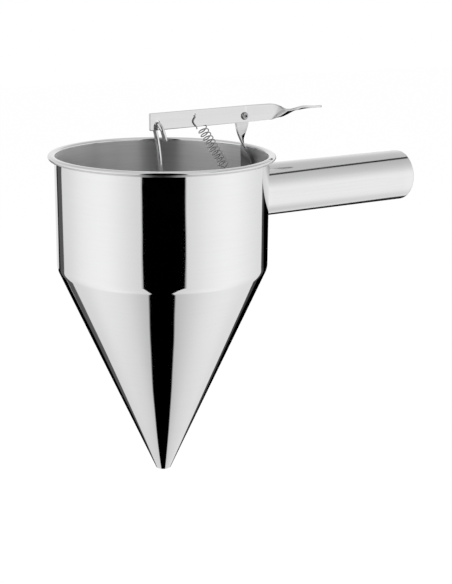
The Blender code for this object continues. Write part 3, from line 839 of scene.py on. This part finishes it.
def rodPath():
    down = Vector((math.sin(rod["lean"]), 0, -math.cos(rod["lean"])))
    front = Vector((0, -1, 0))
    middle = rodWireTop + down * rod["hookRadius"]
    frontLeg = middle + front * rod["hookRadius"]
    points = [frontLeg + down * rod["frontLeg"] * share for share in (1, 0.75, 0.5, 0.25, 0)]
    for i in range(1, rod["hookPoints"] + 1):
        angle = math.pi * i / rod["hookPoints"]
        points.append(middle + (front * math.cos(angle) - down * math.sin(angle)) * rod["hookRadius"])
    shank = points[-1] + down * rod["backLeg"]
    points.append(shank)
    axisStart = Vector((0, 0, -rod["straightFrom"]))
    straight = Vector((0, 0, -rod["bendDepth"]))
    points += hermite(shank, down * rod["bendDepth"] / 2, axisStart, straight, rod["bendPoints"])
    points.append(axisStart)
    end = plugTop - plug["neckHeight"]
    points += [Vector((0, 0, axisStart.z + (end - axisStart.z) * i / 20)) for i in range(1, 21)]
    return points


def makeRod():
    points, swell = roundedEnds(rodPath(), rod["radius"], rod["endRound"])
    inputs = {"Wire Radius": rod["radius"], "Sides": rod["sides"], "Finish": steel["rodSteel"]}
    return grow("rodWire", chainMesh("rodPath", points, {"swell": swell}, False), wireTree, inputs)


def coneInside(z):
    return cone["outlet"] - wallAcross + coneSlope * (z - tipZ)


def makePlug():
    seatLow = tipZ + plug["lift"]
    seatHigh = seatLow + plug["seatHeight"]
    gap = plug["gap"] / math.cos(coneAngle)
    highRadius, lowRadius = coneInside(seatHigh) - gap, coneInside(seatLow) - gap
    edge, neck, top = plug["edge"], plug["neckRadius"], plugTop
    floor = plugTop - plug["neckHeight"] - plug["gap"]
    points = [(0.0, floor), (plug["bore"], floor), (plug["bore"], top)]
    points += arcPoints((neck - edge, top - edge), (edge, edge), 90, 0, 6)
    points += [(neck, seatHigh + plug["shoulder"])]
    points += between((neck, seatHigh + plug["shoulder"]), (highRadius - edge, seatHigh + edge), 4)
    points += arcPoints((highRadius - edge, seatHigh), (edge, edge), 60, -15, 6)
    points += between((highRadius, seatHigh - edge), (lowRadius, seatLow), 5) + [(lowRadius, seatLow)]
    points += [(lowRadius - plug["nose"], seatLow - plug["nose"] / 2), (0.0, seatLow - plug["nose"] / 2)]
    return turn("plugCone", points, "rodSteel", steps=plug["steps"])


rodWire = makeRod()
plugCone = makePlug()
print("rod and plug done")


# Tension spring: upper hook in the lever, curls, lower hook in the tongue
spring = dict(
    wire=0.0004, radius=0.0033, curls=10.75, startTurn=0.25, curlPoints=28, topLead=0.0108, bottomLead=0.0045,
    topHook=0.0014, topLeg=0.0078, bow=0.0014, bowPhase=1.6, lowLeg=0.0045, pinGap=0.0003,
    sides=12,
)


def springPath():
    top = Vector((lever["springHole"][0], 0, 0))
    top.z = lever["springHole"][1] - lever["springHole"][2] + spring["pinGap"] + spring["wire"]
    lowX = bracket["tongueTipX"] - bracket["gap"] - spring["wire"]
    low = Vector((lowX, 0, bracket["tongueZ"] + strip / 2 + spring["lowLeg"] / 2))
    along = (low - top).normalized()
    side = Vector((0, 1, 0))
    across = along.cross(side).normalized()
    down = Vector((0, 0, -1))
    first = top + along * spring["topLead"]
    body = (low - top).length - spring["topLead"] - spring["bottomLead"]
    hook = top + down * spring["topHook"]
    leg = hook - side * spring["topHook"]
    points = []
    for i in range(13):
        share = 1 - i / 12
        bow = Vector((-spring["bow"] * math.sin(spring["bowPhase"] * math.pi * share), 0, 0))
        points.append(leg + down * spring["topLeg"] * share + bow)
    for i in range(1, 17):
        angle = math.pi * i / 16
        points.append(hook + (-side * math.cos(angle) - down * math.sin(angle)) * spring["topHook"])
    leadIn = first - along * 2 * spring["wire"] + across * spring["radius"] + side * 3 * spring["wire"]
    points += hermite(points[-1], down * spring["topHook"], leadIn, along * spring["topHook"], 10)
    points.append(leadIn)
    marks = [(0.0, 0.0)] * len(points)

    count = int(spring["curls"] * spring["curlPoints"])
    for i in range(count + 1):
        points.append(first + along * (body * i / count))
        marks.append((i / count, 1.0))
    lastAngle = 2 * math.pi * (spring["curls"] + spring["startTurn"])
    last = points[-1] + (side * math.cos(lastAngle) + across * math.sin(lastAngle)) * spring["radius"]

    plateLow = bracket["tongueZ"] - strip / 2
    holeX = bracket["tongueTipX"] + bracket["holeInset"]
    lowRadius = (holeX - low.x) / 2
    legTop = Vector((low.x, 0, bracket["tongueZ"] + strip / 2))
    tail = hermite(last, (along + across) * spring["radius"], legTop, down * spring["lowLeg"], 14) + [legTop]
    bight = Vector((low.x + lowRadius, 0, plateLow - bracket["gap"]))
    tail.append(Vector((low.x, 0, bight.z)))
    for i in range(1, 17):
        angle = math.pi * i / 16
        tail.append(bight + Vector((-math.cos(angle), 0, -math.sin(angle))) * lowRadius)
    end = Vector((holeX, 0, bracket["tongueZ"] + strip / 2 + spring["lowLeg"]))
    tail += [tail[-1] + (end - tail[-1]) * share for share in (0.33, 0.66, 1.0)]
    return points + tail, marks + [(1.0, 0.0)] * len(tail), side, across


def makeSpring():
    points, marks, side, across = springPath()
    values = {
        "share": [share for share, _ in marks],
        "wound": [wound for _, wound in marks],
        "swell": [1.0] * len(points),
    }
    inputs = {
        "Wire Radius": spring["wire"], "Sides": spring["sides"], "Finish": steel["springSteel"],
        "Curls": spring["curls"], "Start Turn": spring["startTurn"], "Coil Radius": spring["radius"],
        "Side": side, "Across": across,
    }
    return grow("springCoil", chainMesh("springPath", points, values, False), coilTree, inputs)


springCoil = makeSpring()
print("spring done")


# What each piece stands for and rides on
stands = (
    (bowlShell, "funnel", "polished_steel", ("bowl_cylinder",)),
    (coneShell, "funnel", "polished_steel", ("outlet_cone",)),
    (handleTube, "funnel", "polished_steel", ("handle_tube",)),
    (handleCap, "funnel", "polished_steel", ("handle_end_cap",)),
    (handleWeld, "funnel", "satin_steel", ("handle_weld",)),
    (bracketStrip, "funnel", "satin_steel", ("pivot_bracket",)),
    (pivotRivet, "funnel", "polished_steel", ("pivot_rivet",)),
    (pivotWasher, "funnel", "satin_steel", ("pivot_washer",)),
    (leverStrip, "lever", "satin_steel", ("lever",)),
    (rodWire, "piston", "wire_steel", ("piston_rod",)),
    (plugCone, "piston", "satin_steel", ("outlet_plug",)),
)
for piece, body, slot, nodes in stands:
    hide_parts(*nodes)
    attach(piece, body)
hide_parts("return_spring")
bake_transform(springCoil)
print("pieces:", len(stands) + 1)


# Studio: pale floor, white dome and the black boards that a polished funnel is shot between.
# Azimuth is in degrees from the camera's side, to the right; the dome's sweep is azimuth and brightness.
studio = dict(
    heading=math.atan2(0.8392, 0.5438), middle=Vector((0, 0, -0.09)), far=3.0, floorZ=-0.386, floorSize=8.0,
    sweep=((-180, 0.90), (-150, 0.80), (-122, 0.74), (-95, 0.95), (-58, 1.09), (-26, 0.76), (0, 0.74),
           (26, 0.76), (50, 0.93), (82, 1.09), (122, 0.83), (150, 0.82), (180, 0.90)),
    lowFrom=-0.70, lowTo=-0.95, low=0.70, highFrom=0.10, highTo=0.75, high=0.74, highNear=0.63,
    jointAngle=math.radians(98.0), jointAt=0.60, jointSlant=-2.6, jointWidth=0.07, joint=0.05,
    paper=0.92, floorGlow=1.06, floorWhite=0.85,
    lampPower=6.0, lampSize=1.2, lampPlace=(0.1, -0.2, 1.3), lampTilt=math.radians(-9),
)
# Each board is rows of elevation, azimuth from and azimuth to, with a soft margin at both sides
boards = {
    "frontBoard": dict(
        glow=0.0, margins=(4.5, 3.0),
        rows=((-16, -19.5, 28.7), (-5, -19.5, 28.7), (20, -19.5, 28.7), (80, -19.5, 28.7)),
    ),
    "rightBoard": dict(
        glow=0.0, margins=(3.0, 1.0),
        rows=((0, 140, 173), (-11, 141, 173), (-14, 143, 176), (-20, 145, 184), (-29, 146.5, 188),
              (-32, 149, 190), (-34, 155, 190), (-37, 164, 190)),
    ),
    "rightGreyBoard": dict(
        glow=0.06, margins=(1.5, 0.5),
        rows=((0, 135, 144), (-11, 135.5, 145), (-14, 136.5, 146), (-29, 139.5, 150), (-32, 141.5, 152),
              (-34, 142.5, 158), (-38, 144.0, 170), (-41, 147, 180)),
    ),
    "leftBoard": dict(
        glow=0.0, margins=(1.0, 1.5),
        rows=((0, -141.7, -148.5), (-11, -141.5, -147.5), (-14, -139, -148.5), (-17, -141, -165),
              (-20, -143, -186), (-27, -144.5, -188), (-32, -142.5, -188), (-36, -141, -186),
              (-41, -138, -180)),
    ),
    "leftGreyBoard": dict(
        glow=0.10, margins=(1.5, 0.2),
        rows=((0, -128.5, -143), (-10, -128, -143), (-14, -127.5, -141), (-20, -131, -145),
              (-32, -131.5, -144), (-37, -129.5, -143), (-41, -129, -141), (-45, -129, -139)),
    ),
}
# The dark strip that lies on the floor before the funnel: rows of distance, left and right edge in metres
floorStrip = dict(
    glow=0.0, margins=(0.008, 0.008),
    rows=((-0.02, -0.060, 0.048), (0.06, -0.062, 0.056), (0.12, -0.068, 0.070), (0.21, -0.066, 0.083),
          (0.33, -0.062, 0.088), (0.61, -0.15, 0.22), (1.3, -0.40, 0.66), (2.9, -0.94, 1.46)),
)
toCamera = Vector((-math.cos(studio["heading"]), -math.sin(studio["heading"]), 0))
toRight = Vector((math.sin(studio["heading"]), -math.cos(studio["heading"]), 0))


def boardMaterial(name, glow):
    material = bpy.data.materials.new(name)
    material.use_nodes = True
    tree = material.node_tree
    tree.nodes.clear()
    shown = wired(tree, "ShaderNodeEmission", {"Strength": glow}).outputs[0]
    cover = addNode(tree, "ShaderNodeAttribute", attribute_name="cover").outputs["Fac"]
    clear = addNode(tree, "ShaderNodeBsdfTransparent").outputs[0]
    wired(tree, "ShaderNodeOutputMaterial", {"Surface": mixShaders(tree, cover, clear, shown)})
    return material


def addBoard(name, board, placeOf, columns=18):
    points, cover = [], []
    for row, start, end in board["rows"]:
        span = end - start
        first, last = [math.copysign(margin, span) for margin in board["margins"]]
        first, last = start + first, end - last
        across = [start] + [first + (last - first) * i / columns for i in range(columns + 1)] + [end]
        for i, side in enumerate(across):
            points.append(tuple(placeOf(row, side)))
            cover.append(float(0 < i < len(across) - 1))
    wide = columns + 3
    faces = [
        (k * wide + i, k * wide + i + 1, (k + 1) * wide + i + 1, (k + 1) * wide + i)
        for k in range(len(board["rows"]) - 1)
        for i in range(wide - 1)
    ]
    mesh = bpy.data.meshes.new(name)
    mesh.from_pydata(points, [], faces)
    mesh.attributes.new("cover", "FLOAT", "POINT").data.foreach_set("value", cover)
    mesh.materials.append(boardMaterial(name, board["glow"]))
    stood = asPiece(name, mesh)
    stood.visible_camera = stood.visible_diffuse = stood.visible_transmission = False
    stood.visible_shadow = stood.visible_volume_scatter = False


def onDome(elevation, azimuth):
    e, a = math.radians(elevation), math.radians(azimuth)
    way = (toCamera * math.cos(a) + toRight * math.sin(a)) * math.cos(e) + Vector((0, 0, math.sin(e)))
    return studio["middle"] + way * studio["far"]


def onFloor(away, side):
    return toCamera * away + toRight * side + Vector((0, 0, studio["floorZ"]))


for name, board in boards.items():
    addBoard(name, board, onDome)
addBoard("floorStrip", floorStrip, onFloor)


def addFloor():
    half = studio["floorSize"] / 2
    z = studio["floorZ"]
    mesh = bpy.data.meshes.new("floor")
    corners = [(x * half, y * half, z) for x, y in ((-1, -1), (1, -1), (1, 1), (-1, 1))]
    mesh.from_pydata(corners, [], [(0, 1, 2, 3)])
    material = bpy.data.materials.new("paleFloor")
    material.use_nodes = True
    tree = material.node_tree
    tree.nodes.clear()
    paper = wired(tree, "ShaderNodeBsdfDiffuse", {"Color": (*[studio["paper"]] * 3, 1)}).outputs[0]
    glow = wired(tree, "ShaderNodeEmission", {"Strength": studio["floorGlow"]}).outputs[0]
    seen = addNode(tree, "ShaderNodeLightPath").outputs["Is Camera Ray"]
    white = mixShaders(tree, mathNode(tree, "MULTIPLY", seen, studio["floorWhite"]), paper, glow)
    below = addNode(tree, "ShaderNodeNewGeometry").outputs["Backfacing"]
    clear = addNode(tree, "ShaderNodeBsdfTransparent").outputs[0]
    wired(tree, "ShaderNodeOutputMaterial", {"Surface": mixShaders(tree, below, white, clear)})
    mesh.materials.append(material)
    floor = asPiece("floor", mesh)
    floor.visible_glossy = False


def addDome():
    world = bpy.data.worlds.new("studioDome")
    bpy.context.scene.world = world
    world.use_nodes = True
    tree = world.node_tree
    tree.nodes.clear()
    way = addNode(tree, "ShaderNodeTexCoord").outputs["Generated"]
    parts = wired(tree, "ShaderNodeSeparateXYZ", {0: way})
    height = parts.outputs["Z"]
    aside = vectorNode(tree, "DOT_PRODUCT", way, tuple(toRight))
    ahead = vectorNode(tree, "DOT_PRODUCT", way, tuple(toCamera))
    azimuth = mathNode(tree, "ARCTAN2", aside, ahead)
    ramp = addNode(tree, "ShaderNodeValToRGB")
    ramp.color_ramp.interpolation = "B_SPLINE"
    stops = ramp.color_ramp.elements
    while len(stops) < len(studio["sweep"]):
        stops.new(0.5)
    brightest = max(value for _, value in studio["sweep"])
    for stop, (degrees, value) in zip(stops, studio["sweep"]):
        stop.position = (degrees + 180) / 360
        stop.color = (*[value / brightest] * 3, 1)
    feed(tree, ramp.inputs[0], remap(tree, azimuth, -math.pi, math.pi, 0.0, 1.0))

    # Two overhead panels meet at a dark joint, and the nearer one is dimmer
    a = studio["jointAngle"]
    offJoint = vectorNode(tree, "DOT_PRODUCT", way, (studio["jointSlant"], math.sin(a), -math.cos(a)))
    offJoint = mathNode(tree, "SUBTRACT", offJoint, studio["jointSlant"] * studio["jointAt"])
    wide = studio["jointWidth"]
    overhead = remap(tree, offJoint, -wide, wide, studio["highNear"], studio["high"])
    fromJoint = mathNode(tree, "ABSOLUTE", offJoint)
    joint = remap(tree, fromJoint, 0.6 * wide, 1.3 * wide, studio["joint"], 1.0, True)
    right = remap(tree, parts.outputs["X"], 0.2, 0.45, 0.0, 1.0, True)
    above = remap(tree, height, 0.2, 0.4, 0.0, 1.0, True)
    joint = remap(tree, mathNode(tree, "MULTIPLY", right, above), 0.0, 1.0, 1.0, joint)
    top = remap(tree, height, studio["highFrom"], studio["highTo"], 1.0, overhead, True)
    low = remap(tree, height, studio["lowFrom"], studio["lowTo"], 1.0, studio["low"], True)
    glow = mathNode(tree, "MULTIPLY", ramp.outputs["Color"], mathNode(tree, "MULTIPLY", top, low))
    glow = mathNode(tree, "MULTIPLY", mathNode(tree, "MULTIPLY", glow, joint), brightest)
    path = addNode(tree, "ShaderNodeLightPath")
    plain = remap(tree, path.outputs["Is Camera Ray"], 0.0, 1.0, glow, 1.0)
    values = {"Color": (1, 1, 1, 1), "Strength": plain}
    background = wired(tree, "ShaderNodeBackground", values).outputs[0]
    wired(tree, "ShaderNodeOutputWorld", {"Surface": background})


def addLamp():
    light = bpy.data.lights.new("overheadLamp", "AREA")
    light.size = studio["lampSize"]
    light.energy = studio["lampPower"]
    lamp = bpy.data.objects.new("overheadLamp", light)
    bpy.context.scene.collection.objects.link(lamp)
    lamp.location = studio["lampPlace"]
    lamp.rotation_euler = (studio["lampTilt"], 0, 0)
    lamp.visible_glossy = False


addFloor()
addDome()
addLamp()
print("studio done")


# Camera: where the rim, the cone and the handle of the photograph put it
camera = dict(
    place=Vector((-0.3788, -0.6638, 0.1236)), turn=math.radians(-32.94), pitch=math.radians(15.73),
    roll=math.radians(0.66), focal=1164.21, longSide=584, sensor=36.0, near=0.05,
)


def addCamera():
    data = bpy.data.cameras.new("photoCamera")
    data.sensor_width = camera["sensor"]
    data.lens = camera["focal"] / camera["longSide"] * camera["sensor"]
    data.clip_start = camera["near"]
    view = bpy.data.objects.new("photoCamera", data)
    bpy.context.scene.collection.objects.link(view)
    ahead = Vector((-math.sin(camera["turn"]), math.cos(camera["turn"]), 0))
    level = Vector((ahead.y, -ahead.x, 0))
    forward = ahead * math.cos(camera["pitch"]) - Vector((0, 0, math.sin(camera["pitch"])))
    plainUp = level.cross(forward)
    right = level * math.cos(camera["roll"]) + plainUp * math.sin(camera["roll"])
    up = plainUp * math.cos(camera["roll"]) - level * math.sin(camera["roll"])
    matrix = Matrix((right, up, -forward)).transposed().to_4x4()
    matrix.translation = camera["place"]
    view.matrix_world = matrix
    bpy.context.scene.camera = view


addCamera()
bpy.context.scene.view_settings.view_transform = "Standard"
